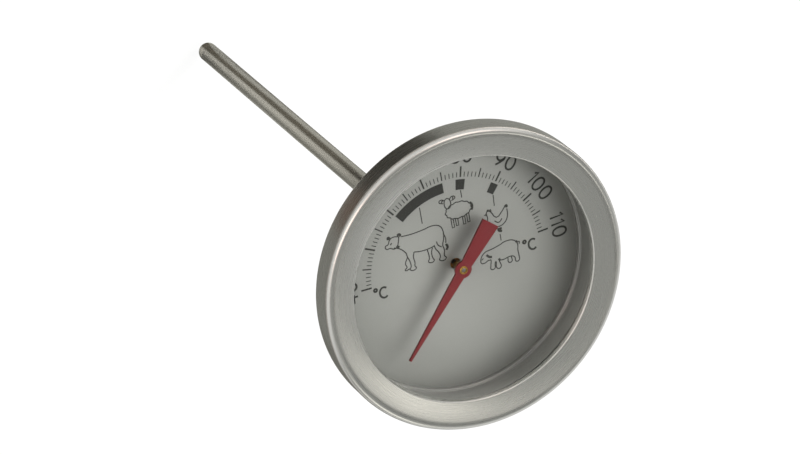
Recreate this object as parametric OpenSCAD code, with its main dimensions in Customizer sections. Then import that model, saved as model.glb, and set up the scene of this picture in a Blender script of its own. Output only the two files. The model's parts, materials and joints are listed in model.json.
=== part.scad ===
// Dial thermometer for roasting meat: a bimetal helix in the stem turns a pointer over a round scale.
// Z is the axis of the stem and of the pointer. Z = 0 is the lower face of the stem collar, where the
// free stem begins. +Z points out of the dial, +Y to the top of the scale, +X to its right side.

/* [Head] */
// Outer diameter of the bezel
bezel_d = 54; // [46:0.5:70]
// Width of the bezel's visible face, from its outside to the opening
face_w = 5.15; // [4:0.05:6]
// Thickness of the bezel's sheet
bezel_t = 0.5; // [0.35:0.05:0.55]
// Drop of the bezel's face from its front edge to the opening
bezel_dish = 0.6; // [0.2:0.1:1]
// Outer radius of the lip that turns down at the opening
lip_bend_r = 0.7; // [0.6:0.05:0.9]
// Depth of that lip, from the face's inner edge down to the glass
lip_h = 0.9; // [0.9:0.05:1.2]
// Radius of the bezel's front edge
bezel_edge_r = 1.1; // [0.8:0.05:1.4]
// Radius of the bezel's rolled rear edge
bezel_roll_r = 0.65; // [0.6:0.05:1]
// Height of the head, from the back of the case to the front of the bezel
head_h = 11.5; // [11.25:0.25:18]
// Thickness of the case's sheet
case_t = 0.5; // [0.3:0.05:0.6]
// Width of the case's flange, which the bezel is rolled over
flange_w = 2.45; // [1.6:0.05:2.8]
// Radius of the corner between the case's wall and its back
case_corner_r = 3; // [1.5:0.25:4]
// Rise of the seat that is pressed into the case's back for the collar
seat_h = 0.4; // [0.2:0.05:0.45]

/* [Window and dial] */
// Thickness of the window glass
glass_t = 2; // [1:0.1:2.4]
// Thickness of the window gasket
gasket_t = 0.8; // [0.4:0.05:1]
// Depth of the dial's face below the front of the bezel
dial_depth = 8.6; // [7.5:0.1:8.8]
// Thickness of the dial plate
dial_t = 0.5; // [0.3:0.05:0.8]
// Radius of the hole in the dial's centre
dial_hole_r = 1.0; // [0.9:0.05:1.2]
// Thickness of the spacer ring's wall
spacer_t = 0.4; // [0.3:0.05:0.6]
// Width of the spacer ring's foot, inwards from its wall
foot_w = 0.4; // [0.3:0.05:0.8]
// Height of the spacer ring's foot
foot_h = 0.9; // [0.6:0.05:1.2]
// Width of the support ring under the dial
support_w = 1.4; // [1:0.1:2]

/* [Pointer] */
// Reading at which the pointer stands, in degrees Celsius
reading = 20; // [0:5:120]
// Thickness of the pointer's sheet
pointer_t = 0.4; // [0.3:0.05:0.5]
// Height of the pointer's underside above the dial
pointer_lift = 2.8; // [2.5:0.1:3.2]
// Gap from the pointer's tip out to the edge of the bezel's opening
tip_gap = 3.95; // [2.5:0.05:8]
// Width of the pointer at its tip
tip_w = 0.4; // [0.3:0.05:0.6]
// Width of the pointer's blade where it meets the hub
root_w = 1.9; // [1.4:0.1:2.4]
// Length of the pointer's tail, from the axis
tail_l = 9.2; // [6:0.1:11]
// Width of the pointer's tail at its end
tail_w = 3.35; // [2.4:0.05:4]
// Radius of the pointer's hub
hub_r = 1.5; // [1.3:0.05:2]
// Outer radius of the brass bush that carries the pointer
bush_r = 0.75; // [0.7:0.05:0.85]

/* [Stem] */
// Length of the free stem, from the collar to its tip
stem_l = 112.3; // [90:0.1:160]
// Outer diameter of the stem
stem_d = 3.6; // [3.4:0.1:5]
// Wall thickness of the stem
stem_wall = 0.45; // [0.4:0.05:0.5]
// Step from the free stem down to its neck, all round
neck_step = 0.2; // [0.16:0.01:0.25]
// Height of the collar behind the case
collar_h = 3; // [2:0.25:6]
// Outer radius of the collar
collar_r = 4.2; // [3.6:0.1:6]
// Length of the tip plug's spigot in the stem
spigot_l = 1.5; // [1:0.1:3]

/* [Movement] */
// Diameter of the spindle
spindle_d = 0.8; // [0.7:0.05:0.9]
// Radial running clearance of the spindle in its bearings
run_gap = 0.05; // [0.03:0.01:0.08]
// Length of each guide bush in the stem
guide_l = 2; // [1.5:0.25:4]
// Number of turns of the bimetal helix
helix_turns = 20; // [8:1:28]
// Rise of the helix in each turn
helix_pitch = 1.25; // [1.1:0.05:1.5]
// Width of the bimetal strip
strip_w = 0.8; // [0.5:0.05:0.8]
// Thickness of the bimetal strip
strip_t = 0.12; // [0.1:0.01:0.2]

/* [Hidden] */
$fn = 96;

// Clearances: a fit that is pressed or brazed, a loose fit, and the room a part gets round its edge
fit_gap = 0.01;
slip_gap = 0.1;
edge_gap = 0.2;
rim_gap = 0.4;

// Heights through the head, from the back of the case to the front
case_back = collar_h;
floor_top = case_back + case_t;
seat_low = case_back + seat_h;
seat_top = seat_low + case_t;
front = case_back + head_h;
glass_top = front - bezel_dish - lip_h;
glass_low = glass_top - glass_t;
flange_top = glass_low - gasket_t;
bezel_low = flange_top - case_t - bezel_t;
dial_top = front - dial_depth;
dial_low = dial_top - dial_t;
pointer_low = dial_top + pointer_lift;
pointer_top = pointer_low + pointer_t;

// Radii of the head, from the outside inwards
bezel_r = bezel_d / 2;
bezel_in_r = bezel_r - bezel_t;
window_r = bezel_r - face_w;
flange_r = bezel_r - bezel_roll_r;
case_r = flange_r - flange_w;
case_in_r = case_r - case_t;
floor_r = case_r - case_corner_r;
seat_r = collar_r + edge_gap;
crimp_r = case_r + rim_gap;
glass_r = bezel_in_r - rim_gap;
spacer_r = case_in_at(dial_top) - slip_gap;
spacer_in_r = spacer_r - spacer_t;
foot_r = spacer_in_r - foot_w;
foot_round = 0.25;
dial_r = case_in_at(dial_low) - slip_gap;
support_r = floor_r - edge_gap;

// Pointer and scale: 2.5 degrees of arc for each degree Celsius, with the middle of the scale upwards
deg_per_c = 2.5;
top_c = 75;
pointer_angle = (top_c - reading) * deg_per_c;
tip_l = window_r - tip_gap;
bush_foot = 0.45;
bush_rim_h = 0.25;
bush_neck_r = bush_r - 0.2;
bush_top = pointer_top + bush_rim_h;
spindle_recess = 0.15;

// Stem
stem_r = stem_d / 2;
bore_r = stem_r - stem_wall;
neck_r = stem_r - neck_step;
washer_t = 0.4;
washer_r = collar_r - 0.2;
rolled_t = 0.3;
rolled_r = neck_r + 0.4;
washer_top = seat_top + washer_t;
neck_top = washer_top + rolled_t;
tip_band = 1.2;
tube_low = -stem_l + stem_r + tip_band;
spigot_top = tube_low + spigot_l;
collar_taper = 1;

// Movement, from the tip up the stem
spindle_r = spindle_d / 2;
pilot_r = spindle_r + run_gap;
plug_r = bore_r - fit_gap;
anchor_h = 2;
helix_low = spigot_top + anchor_h;
helix_l = helix_turns * helix_pitch;
closed_turn = 0.25;
helix_top = helix_low + (helix_turns - 2 * closed_turn) * helix_pitch + strip_w;
strip_out_r = bore_r - 0.2;
helix_sides = 16;
ferrule_r = bore_r - edge_gap;
ferrule_h = 3;
spindle_low = helix_top + 0.5;
guide_lift = 2.5;
lower_guide = helix_top + ferrule_h + guide_lift;
upper_guide = (lower_guide - guide_l) / 2;
bearing_l = 3;
bearing_head = 0.3;

// Inner radius of the case at a height, on its wall or on the round corner below it
function case_in_at(z) =
    floor_r + sqrt(pow(case_corner_r - case_t, 2) - pow(min(z - case_back - case_corner_r, 0), 2));

// A plain ring round Z
module ring(r_in, r_out, low, high) {
    rotate_extrude() translate([r_in, low]) square([r_out - r_in, high - low]);
}

// A quarter of a bent sheet's section, centred on the bend, in the quadrant that sx and sy name
module bend(r, t, sx, sy) {
    intersection() {
        difference() {
            circle(r = r, $fn = 48);
            circle(r = r - t, $fn = 48);
        }
        translate([sx > 0 ? 0 : -r, sy > 0 ? 0 : -r]) square(r);
    }
}

// Rolled stainless bezel: a dished face, a lip turned down to the glass, a side wall and a rear edge
// rolled in under the case's flange
module bezel() {
    crest_r = bezel_r - bezel_edge_r;
    lip_r = window_r + lip_bend_r;
    lip_top = front - bezel_dish;
    color([0.66, 0.65, 0.62]) rotate_extrude() union() {
        polygon([[crest_r, front], [lip_r, lip_top], [lip_r, lip_top - bezel_t], [crest_r, front - bezel_t]]);
        translate([lip_r, lip_top - lip_bend_r]) bend(lip_bend_r, bezel_t, -1, 1);
        translate([window_r, glass_top]) square([bezel_t, lip_h - lip_bend_r]);
        translate([crest_r, front - bezel_edge_r]) bend(bezel_edge_r, bezel_t, 1, 1);
        translate([bezel_in_r, bezel_low + bezel_roll_r])
            square([bezel_t, front - bezel_edge_r - bezel_low - bezel_roll_r]);
        translate([bezel_r - bezel_roll_r, bezel_low + bezel_roll_r]) bend(bezel_roll_r, bezel_t, 1, -1);
        translate([crimp_r, bezel_low]) square([bezel_r - bezel_roll_r - crimp_r, bezel_t]);
    }
}

// Flat window glass with ground edges
module window_glass() {
    chamfer = 0.2;
    color([0.85, 0.92, 0.88, 0.35]) rotate_extrude() polygon([
        [0, glass_low], [glass_r - chamfer, glass_low], [glass_r, glass_low + chamfer],
        [glass_r, glass_top - chamfer], [glass_r - chamfer, glass_top], [0, glass_top]]);
}

// Silicone ring between the window and the case's flange
module window_gasket() {
    color([0.25, 0.25, 0.24]) ring(case_in_r, glass_r - edge_gap, flange_top, glass_low);
}

// Thin ring that stands on the dial's edge and carries the middle of the window
module spacer_ring() {
    color([0.62, 0.62, 0.6]) rotate_extrude() union() {
        translate([spacer_in_r, dial_top]) square([spacer_t, glass_low - dial_top]);
        translate([foot_r + foot_round, dial_top]) square([foot_w - foot_round, foot_h]);
        translate([foot_r, dial_top]) square([foot_w, foot_h - foot_round]);
        translate([foot_r + foot_round, dial_top + foot_h - foot_round]) circle(r = foot_round, $fn = 32);
    }
}

// Printed aluminium dial
module dial_plate() {
    color([0.66, 0.68, 0.65]) ring(dial_hole_r, dial_r, dial_low, dial_top);
}

// Ring that holds the dial off the case's back
module dial_support_ring() {
    color([0.55, 0.55, 0.54]) ring(support_r - support_w, support_r, floor_top, dial_low);
}

// Pressed stainless case: flange, wall, round corner and flat back, with a raised seat for the collar and
// a hole for the stem's neck
module case_cup() {
    color([0.6, 0.6, 0.58]) rotate_extrude() union() {
        translate([case_in_r, flange_top - case_t]) square([flange_r - case_in_r, case_t]);
        translate([case_in_r, case_back + case_corner_r])
            square([case_t, flange_top - case_back - case_corner_r]);
        translate([floor_r, case_back + case_corner_r]) bend(case_corner_r, case_t, 1, -1);
        translate([seat_r, case_back]) square([floor_r - seat_r, case_t]);
        translate([seat_r, case_back]) square([case_t, seat_top - case_back]);
        translate([neck_r + fit_gap, seat_low]) square([seat_r - neck_r - fit_gap, case_t]);
    }
}

// Turned collar that stiffens the case where the stem leaves it
module stem_collar() {
    color([0.6, 0.6, 0.58]) rotate_extrude() polygon([
        [neck_r + fit_gap, 0], [collar_r - collar_taper, 0], [collar_r, collar_taper],
        [collar_r, seat_low], [neck_r + fit_gap, seat_low]]);
}

// Washer inside the case, under the stem's rolled lip
module clamp_washer() {
    color([0.55, 0.55, 0.55]) ring(neck_r + fit_gap, washer_r, seat_top, washer_top);
}

// Stem: a tube with a shoulder under the collar, a thinner neck through the case and a lip rolled outwards
module stem_tube() {
    color([0.62, 0.61, 0.58]) rotate_extrude() union() {
        translate([bore_r, tube_low]) square([stem_wall, -tube_low]);
        translate([bore_r, 0]) square([neck_r - bore_r, neck_top]);
        translate([bore_r, washer_top]) square([rolled_r - bore_r, rolled_t]);
    }
}

// Round closing plug, welded into the end of the stem
module stem_tip() {
    color([0.62, 0.61, 0.58]) rotate_extrude() union() {
        intersection() {
            translate([0, -stem_l + stem_r]) circle(r = stem_r);
            translate([0, -stem_l]) square(stem_r);
        }
        translate([0, -stem_l + stem_r]) square([stem_r, tip_band]);
        translate([0, tube_low]) square([plug_r, spigot_l]);
    }
}

// Plug on the tip's spigot that holds the lower end of the helix
module helix_anchor() {
    color([0.7, 0.6, 0.35]) translate([0, 0, spigot_top]) cylinder(r = plug_r, h = anchor_h);
}

// Height of the strip's middle after a number of turns: it rises evenly between two flat ends
function strip_z(turn) =
    helix_low + strip_w / 2
    + helix_pitch * (min(max(turn, closed_turn), helix_turns - closed_turn) - closed_turn);

// The strip's four corners after a number of turns
function strip_ring(turn) = [
    for (c = [[strip_out_r - strip_t, -1], [strip_out_r, -1], [strip_out_r, 1], [strip_out_r - strip_t, 1]])
        [c[0] * cos(360 * turn), c[0] * sin(360 * turn), strip_z(turn) + c[1] * strip_w / 2]
];

// Bimetal strip, wound as a helix. It winds up as it warms, and turns the ferrule above it
module bimetal_helix() {
    steps = helix_turns * helix_sides;
    points = [for (i = [0 : steps]) each strip_ring(i / helix_sides)];
    sides = [for (i = [0 : steps - 1], k = [0 : 3])
        [4 * i + k, 4 * i + 4 + k, 4 * i + 4 + (k + 1) % 4, 4 * i + (k + 1) % 4]];
    color([0.72, 0.66, 0.5]) polyhedron(points, concat([[0, 1, 2, 3]], sides,
        [[4 * steps + 3, 4 * steps + 2, 4 * steps + 1, 4 * steps]]));
}

// Ferrule on the spindle's lower end, welded to the top of the helix
module helix_ferrule() {
    color([0.75, 0.62, 0.3]) ring(spindle_r + fit_gap, ferrule_r, helix_top, helix_top + ferrule_h);
}

// A bush in the stem that guides the spindle
module guide_bush(low) {
    color([0.92, 0.91, 0.86]) ring(pilot_r, plug_r, low, low + guide_l);
}

module lower_guide_bush() {
    guide_bush(lower_guide);
}

module upper_guide_bush() {
    guide_bush(upper_guide);
}

// Headed bearing in the top of the stem
module top_bearing() {
    color([0.75, 0.55, 0.3]) rotate_extrude() union() {
        translate([pilot_r, neck_top - bearing_l]) square([plug_r - pilot_r, bearing_l]);
        translate([pilot_r, neck_top]) square([rolled_r - pilot_r, bearing_head]);
    }
}

// Thin shaft from the helix up to the pointer
module spindle() {
    color([0.5, 0.5, 0.5]) translate([0, 0, spindle_low])
        cylinder(r = spindle_r, h = bush_top - spindle_recess - spindle_low);
}

// Brass bush: a barrel under the pointer, a neck through it and a rim riveted over it
module pointer_bush() {
    bush_bore = spindle_r + fit_gap;
    color([0.78, 0.62, 0.3]) rotate_extrude() union() {
        translate([bush_bore, dial_top + bush_foot])
            square([bush_r - bush_bore, pointer_low - dial_top - bush_foot]);
        translate([bush_bore, pointer_low]) square([bush_neck_r - bush_bore, pointer_t]);
        translate([bush_bore, pointer_top]) square([bush_r - bush_bore, bush_rim_h]);
    }
}

// Red pointer: a long blade that narrows to the tip, a round hub and a tail that widens to a square end
module pointer() {
    color([0.6, 0.16, 0.17]) rotate([0, 0, pointer_angle]) translate([0, 0, pointer_low])
        linear_extrude(height = pointer_t) difference() {
            union() {
                polygon([[tip_w / 2, tip_l], [-tip_w / 2, tip_l], [-root_w / 2, 0],
                         [-tail_w / 2, -tail_l], [tail_w / 2, -tail_l], [root_w / 2, 0]]);
                circle(r = hub_r);
            }
            circle(r = bush_neck_r + fit_gap);
        }
}

bezel();
window_glass();
window_gasket();
spacer_ring();
dial_plate();
dial_support_ring();
case_cup();
stem_collar();
clamp_washer();
stem_tube();
stem_tip();
helix_anchor();
bimetal_helix();
helix_ferrule();
lower_guide_bush();
upper_guide_bush();
top_bearing();
spindle();
pointer_bush();
pointer();
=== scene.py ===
# %% [markdown]
# # A dial thermometer for roasting meat
# The real thing is a round tin of stainless steel on a thin steel stem. A strip of two metals, wound
# as a helix, sits in the lower part of the stem. It winds up as it warms, and a thin spindle carries
# that turn up to a red pointer, which moves over a printed aluminium dial behind glass.
# The engineering model gives the size and the place of every part, so this file starts by loading it
# and then models each part again as a maker would finish it: with rolled edges, broken corners and
# real surfaces.

# %% Load the engineering model
import json
import math

import bmesh
import bpy
from mathutils import Matrix, Vector

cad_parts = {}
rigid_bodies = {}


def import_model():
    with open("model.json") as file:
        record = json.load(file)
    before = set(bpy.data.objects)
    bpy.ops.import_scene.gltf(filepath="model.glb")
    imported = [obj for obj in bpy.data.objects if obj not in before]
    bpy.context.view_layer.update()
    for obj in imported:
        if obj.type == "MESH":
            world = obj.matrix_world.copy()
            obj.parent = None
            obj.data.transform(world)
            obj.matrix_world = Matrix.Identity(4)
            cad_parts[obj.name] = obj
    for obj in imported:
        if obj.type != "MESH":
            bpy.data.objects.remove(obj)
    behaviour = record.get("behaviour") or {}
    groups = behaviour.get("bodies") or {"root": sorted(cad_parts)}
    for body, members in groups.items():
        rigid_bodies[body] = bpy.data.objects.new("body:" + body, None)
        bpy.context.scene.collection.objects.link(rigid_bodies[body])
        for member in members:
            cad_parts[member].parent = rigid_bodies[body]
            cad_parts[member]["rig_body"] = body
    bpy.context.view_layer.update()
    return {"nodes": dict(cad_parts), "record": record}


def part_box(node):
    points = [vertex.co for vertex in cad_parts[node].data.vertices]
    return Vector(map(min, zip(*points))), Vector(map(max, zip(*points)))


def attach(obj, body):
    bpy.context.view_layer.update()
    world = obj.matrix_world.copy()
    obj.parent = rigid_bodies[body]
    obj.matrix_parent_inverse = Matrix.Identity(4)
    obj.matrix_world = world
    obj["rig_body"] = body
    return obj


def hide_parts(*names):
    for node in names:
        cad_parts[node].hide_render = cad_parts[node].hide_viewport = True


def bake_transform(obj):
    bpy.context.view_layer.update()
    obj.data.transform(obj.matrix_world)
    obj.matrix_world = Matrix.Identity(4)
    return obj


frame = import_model()

# %% [markdown]
# ## Units and positions
# Blender works in metres, and a part this small is easier to think of in millimetres. One factor turns
# one into the other. Heights and radii are read from the boxes of the engineering parts, so nothing
# here can drift away from them.

# %% Millimetres, heights and radii
MM = 0.001


def low(node):
    """Lowest height of an engineering part, in millimetres."""
    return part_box(node)[0].z / MM


def high(node):
    """Highest height of an engineering part, in millimetres."""
    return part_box(node)[1].z / MM


def radius(node):
    """Outer radius of a round engineering part, in millimetres."""
    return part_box(node)[1].x / MM


FRONT = high("bezel")
BEZEL_R = radius("bezel")
DIAL_TOP = high("dial_plate")
GLASS_LOW, GLASS_TOP = low("window_glass"), high("window_glass")
STEM_R = frame["record"]["mounts"][0]["dims"]["r_mm"]
TIP = low("stem_tip")
print(f"bezel radius {BEZEL_R:.2f}, front {FRONT:.2f}, dial {DIAL_TOP:.2f}, tip {TIP:.2f} mm")

# %% [markdown]
# ## The camera
# The thermometer is seen from its upper left, with the stem going away behind the dial. A long lens far
# away keeps the circles of the dial almost true ellipses. The camera aims a little beside the dial, so
# that the stem fits in the picture, and it is rolled so that the top of the scale leans to the right.

# %% Camera
VIEW_AZIMUTH, VIEW_ELEVATION = math.radians(125.21), math.radians(57.49)
VIEW_ROLL = math.radians(9.56)
VIEW_DISTANCE = 750 * MM
AIM_LEFT, AIM_UP = 12.79 * MM, 8.97 * MM
LENS_MM, SENSOR_MM = 202.55, 36
NEAREST, FURTHEST = 0.05, 20

back = Vector((math.cos(VIEW_AZIMUTH) * math.cos(VIEW_ELEVATION),
               math.sin(VIEW_AZIMUTH) * math.cos(VIEW_ELEVATION), math.sin(VIEW_ELEVATION)))
level_right = Vector((0, 1, 0)).cross(back).normalized()
right = Matrix.Rotation(-VIEW_ROLL, 3, back) @ level_right
up = back.cross(right)
face_centre = Vector((0, 0, FRONT * MM))
place = face_centre + VIEW_DISTANCE * back
aim = face_centre - AIM_LEFT * right + AIM_UP * up
back = (place - aim).normalized()
right = up.cross(back).normalized()
up = back.cross(right)

camera_data = bpy.data.cameras.new("camera")
camera_data.lens = LENS_MM
camera_data.sensor_width = SENSOR_MM
camera_data.clip_start, camera_data.clip_end = NEAREST, FURTHEST
camera = bpy.data.objects.new("camera", camera_data)
camera.matrix_world = Matrix.Translation(place) @ Matrix((right, up, back)).transposed().to_4x4()
bpy.context.scene.collection.objects.link(camera)
bpy.context.scene.camera = camera
print("camera at", [round(c / MM) for c in place])

# %% [markdown]
# ## Floor, world and lamps
# Brushed steel has hardly any colour of its own: it shows what stands around it. The world is a grey
# dome with two white walls: a low one to the right, and a taller one on the left whose reflection is the
# highlight round the bezel's rolled edge. A white floor lies just under the tip. A soft key lamp above
# the right side lights the dial and gives it its shade, and two low lamps fill the shadow. Four more are
# seen by reflections only, and draw the pale part of the bezel and the ends of its highlights. Flat
# cards that only reflections can see lie on the floor: grey ones under the head and the stem, dark ones
# for the stripes on the bezel's side and the stem, and a black one hangs over the glass to keep it clear.

# %% One helper for nodes, and one for colours
def add(tree, kind, inputs=(), **settings):
    """Adds a shader node. Inputs are (socket, value) pairs, and a value that is a socket is linked."""
    node = tree.nodes.new("ShaderNode" + kind)
    for name, value in settings.items():
        setattr(node, name, value)
    for socket, value in inputs:
        if isinstance(value, bpy.types.NodeSocket):
            tree.links.new(value, node.inputs[socket])
        else:
            node.inputs[socket].default_value = value
    return node


# A Mix node has a pair of sockets for each kind of data. These are the ones for colours
MIX_A, MIX_B, MIX_OUT = 6, 7, 2


def linear(code):
    """An sRGB hex colour as the linear RGBA that shaders take."""
    parts = [int(code[i:i + 2], 16) / 255 for i in (1, 3, 5)]
    return [c / 12.92 if c <= 0.04045 else ((c + 0.055) / 1.055) ** 2.4 for c in parts] + [1]


# %% World dome
scene = bpy.context.scene
scene.view_settings.view_transform = "Standard"
world = bpy.data.worlds.new("dome")
scene.world = world
world.use_nodes = True
tree = world.node_tree
tree.nodes.clear()
direction = add(tree, "TexCoord")
height = add(tree, "SeparateXYZ", [("Vector", direction.outputs["Generated"])])
rise = add(tree, "MapRange", [("Value", height.outputs["Z"]), ("From Min", 0.35), ("From Max", 0.75)],
           interpolation_type="SMOOTHSTEP")
side = add(tree, "VectorMath", [(0, direction.outputs["Generated"]), (1, (0.5, -0.8, 0))],
           operation="DOT_PRODUCT")
front = add(tree, "MapRange", [("Value", side.outputs["Value"]), ("From Min", 0.5), ("From Max", 0.95)],
            interpolation_type="SMOOTHSTEP")
horizon = add(tree, "Mix", [("Factor", front.outputs["Result"]), (MIX_A, linear("#9C9C9A")),
                            (MIX_B, linear("#FFFFFF"))], data_type="RGBA")
sky = add(tree, "Mix", [("Factor", rise.outputs["Result"]), (MIX_A, horizon.outputs[MIX_OUT]),
                        (MIX_B, linear("#ABACAA"))], data_type="RGBA")
left = add(tree, "VectorMath", [(0, direction.outputs["Generated"]), (1, (-0.57, 0.82, 0))],
           operation="DOT_PRODUCT")
across = add(tree, "MapRange", [("Value", left.outputs["Value"]), ("From Min", -0.4), ("From Max", 0.0)],
             interpolation_type="SMOOTHSTEP")
below = add(tree, "MapRange", [("Value", height.outputs["Z"]), ("From Min", 0.88), ("From Max", 0.66)],
            interpolation_type="SMOOTHSTEP")
screen = add(tree, "Math", [(0, across.outputs["Result"]), (1, below.outputs["Result"])],
             operation="MULTIPLY")
room = add(tree, "Mix", [("Factor", screen.outputs[0]), (MIX_A, sky.outputs[MIX_OUT]),
                         (MIX_B, linear("#FFFFFF"))], data_type="RGBA")
glow = add(tree, "Background", [("Color", room.outputs[MIX_OUT]), ("Strength", 1.0)])
add(tree, "OutputWorld", [("Surface", glow.outputs["Background"])])
print("world:", len(tree.nodes), "nodes")

# %% Floor
FLOOR_GAP = 0.8
FLOOR_WIDTH = 6.0
FLOOR_LOW = TIP - FLOOR_GAP
WHITE_SHARE = 0.88

bm = bmesh.new()
bmesh.ops.create_grid(bm, x_segments=1, y_segments=1, size=FLOOR_WIDTH / 2,
                      matrix=Matrix.Translation((0, 0, FLOOR_LOW * MM)))
mesh = bpy.data.meshes.new("floor")
bm.to_mesh(mesh)
bm.free()
floor = bpy.data.objects.new("floor", mesh)
scene.collection.objects.link(floor)

paper = bpy.data.materials.new("white_paper")
paper.use_nodes = True
tree = paper.node_tree
tree.nodes.clear()
seen = add(tree, "LightPath")
first = add(tree, "Math", [(0, seen.outputs["Is Camera Ray"]), (1, seen.outputs["Is Glossy Ray"])],
            operation="MAXIMUM")
shown = add(tree, "Math", [(0, first.outputs[0]), (1, seen.outputs["Is Transmission Ray"])],
            operation="MAXIMUM")
part = add(tree, "Math", [(0, shown.outputs[0]), (1, WHITE_SHARE)], operation="MULTIPLY")
matt = add(tree, "BsdfDiffuse", [("Color", linear("#F2F2F0"))])
white = add(tree, "Emission", [("Color", linear("#FFFFFF")), ("Strength", 1.0)])
mixed = add(tree, "MixShader", [("Fac", part.outputs[0]), (1, matt.outputs[0]), (2, white.outputs[0])])
add(tree, "OutputMaterial", [("Surface", mixed.outputs[0])])
mesh.materials.append(paper)
print("floor at", FLOOR_LOW, "mm")


# %% Lamps
def lamp(name, towards, distance, width, power, colour, diffuse=True, glossy=True):
    """A round soft lamp that stands in a direction from the dial and shines at it."""
    data = bpy.data.lights.new(name, "AREA")
    data.shape = "DISK"
    data.size = width
    data.energy = power
    data.color = linear(colour)[:3]
    where = Vector(towards).normalized()
    obj = bpy.data.objects.new(name, data)
    obj.matrix_world = Matrix.Translation(face_centre + distance * where) @ \
        where.to_track_quat("Z", "Y").to_matrix().to_4x4()
    obj.visible_diffuse = diffuse
    obj.visible_glossy = glossy
    obj.visible_camera = False
    scene.collection.objects.link(obj)
    print("lamp", name, [round(c, 2) for c in where])


lamp("key", (0.45, -0.085, 1.0), 0.6, 0.5, 2.7, "#FFFFFF", glossy=False)
lamp("low_fill", (0.84, 0.485, 0.242), 0.9, 0.4, 12.0, "#FFFFFF", glossy=False)
lamp("right_fill", (0.77, -0.28, 0.574), 0.9, 0.5, 2.1, "#FFFFFF", glossy=False)
lamp("crest_gleam", (-0.6, 0.3, 0.68), 0.6, 0.34, 0.55, "#FFE3DA", diffuse=False)
lamp("crest_end_gleam", (0.36, 0.65, 0.7), 0.6, 0.3, 0.4, "#FFE8E0", diffuse=False)
lamp("shoulder_gleam", (0.48, -0.2, 0.86), 0.6, 0.17, 0.118, "#FFFAF2", diffuse=False)
lamp("edge_gleam", (-0.2, -0.86, 0.47), 0.6, 0.28, 0.25, "#FFFAF2", diffuse=False)


# %% Cards that only reflections can see
def card(name, corners, colour, where):
    """A flat matt card from its corners in millimetres. Nothing but a reflection shows it."""
    bm = bmesh.new()
    bm.faces.new([bm.verts.new((x * MM, y * MM, 0)) for x, y in corners])
    mesh = bpy.data.meshes.new(name)
    bm.to_mesh(mesh)
    bm.free()
    obj = bpy.data.objects.new(name, mesh)
    obj.matrix_world = where
    scene.collection.objects.link(obj)
    for ray in ("visible_camera", "visible_diffuse", "visible_shadow", "visible_transmission"):
        setattr(obj, ray, False)
    board = bpy.data.materials.new(name)
    board.use_nodes = True
    shader = board.node_tree.nodes["Principled BSDF"]
    shader.inputs["Base Color"].default_value = linear(colour)
    shader.inputs["Roughness"].default_value = 0.9
    mesh.materials.append(board)
    print("card", name)


def circle(x, y, r, steps=48):
    """The corners of a round card."""
    turns = [2 * math.pi * i / steps for i in range(steps)]
    return [(x + r * math.cos(a), y + r * math.sin(a)) for a in turns]


def wedge(towards, half, near, far):
    """The corners of a tapering card that points away from the stem."""
    sides = [math.radians(towards - half), math.radians(towards + half)]
    return [(r * math.cos(a), r * math.sin(a)) for r, a in ((near, sides[0]), (far, sides[0]),
                                                            (far, sides[1]), (near, sides[1]))]


def above_floor(gap):
    """A place a little above the floor, so that one card can lie on another."""
    return Matrix.Translation((0, 0, (FLOOR_LOW + gap) * MM))


card("far_card", circle(-900, 1450, 2000), "#C4BCB8", above_floor(0.1))
card("grey_card", circle(0, 0, 300), "#787874", above_floor(0.2))
card("stem_card", circle(0, 0, 66), "#9B9A94", above_floor(0.4))
card("side_flag", circle(-22, 112, 58), "#25231F", above_floor(0.6))
card("side_tint", circle(-88, 66, 26), "#553F33", above_floor(0.7))
card("side_shade", circle(-20, -104, 50), "#5F5E59", above_floor(0.6))
card("stem_shade", wedge(232, 26, 2, 66), "#73726C", above_floor(0.65))
card("stem_flag", wedge(92, 30, 2, 66), "#5A564D", above_floor(0.65))
card("stem_edge", wedge(342, 20, 2, 66), "#6A6862", above_floor(0.65))
card("stem_gleam", wedge(155, 24, 2, 66), "#BBB9B3", above_floor(0.65))

# The glass mirrors the camera's line, so the black card hangs where that line goes on
FLAG_DISTANCE = 0.55
mirrored = Vector((-back.x, -back.y, back.z))
over_glass = Matrix.Translation(face_centre + FLAG_DISTANCE * mirrored)
card("window_flag", circle(0, 0, 52), "#161616",
     over_glass @ mirrored.to_track_quat("Z", "Y").to_matrix().to_4x4())

# %% [markdown]
# ## Brushed, pressed and ground stainless steel
# All three are the same alloy, and only the way that the surface was worked differs. The bezel was
# brushed while it turned on a lathe, so its lines run round it. The case was pressed and is satin. The
# stem is a drawn tube, ground and polished along its length. The pattern is a noise that is squeezed
# across the brushing and drawn out along it, and it moves the roughness and a very low bump. Lines of a
# few hundredths of a millimetre would be lost, so they are drawn a little coarser than they are.


# %% Patterns that follow a turned part
def round_lines(tree, line_mm, streak=3.0):
    """A noise whose streaks run round Z. Across them it changes every line_mm millimetres."""
    place = add(tree, "TexCoord")
    flat = add(tree, "VectorMath", [(0, place.outputs["Object"]), (1, (1, 1, 0))], operation="MULTIPLY")
    away = add(tree, "VectorMath", [(0, flat.outputs[0])], operation="LENGTH")
    turn = add(tree, "VectorMath", [(0, flat.outputs[0])], operation="NORMALIZE")
    spread = add(tree, "VectorMath", [(0, turn.outputs[0]), ("Scale", streak)], operation="SCALE")
    axes = add(tree, "SeparateXYZ", [("Vector", place.outputs["Object"])])
    along = add(tree, "Math", [(0, away.outputs["Value"]), (1, axes.outputs["Z"])], operation="SUBTRACT")
    fine = add(tree, "Math", [(0, along.outputs[0]), (1, 1 / (line_mm * MM))], operation="MULTIPLY")
    lift = add(tree, "CombineXYZ", [("Z", fine.outputs[0])])
    where = add(tree, "VectorMath", [(0, spread.outputs[0]), (1, lift.outputs[0])], operation="ADD")
    noise = add(tree, "TexNoise", [("Vector", where.outputs[0]), ("Scale", 1.0), ("Detail", 3.0),
                                   ("Roughness", 0.6)])
    return noise.outputs["Fac"]


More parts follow.
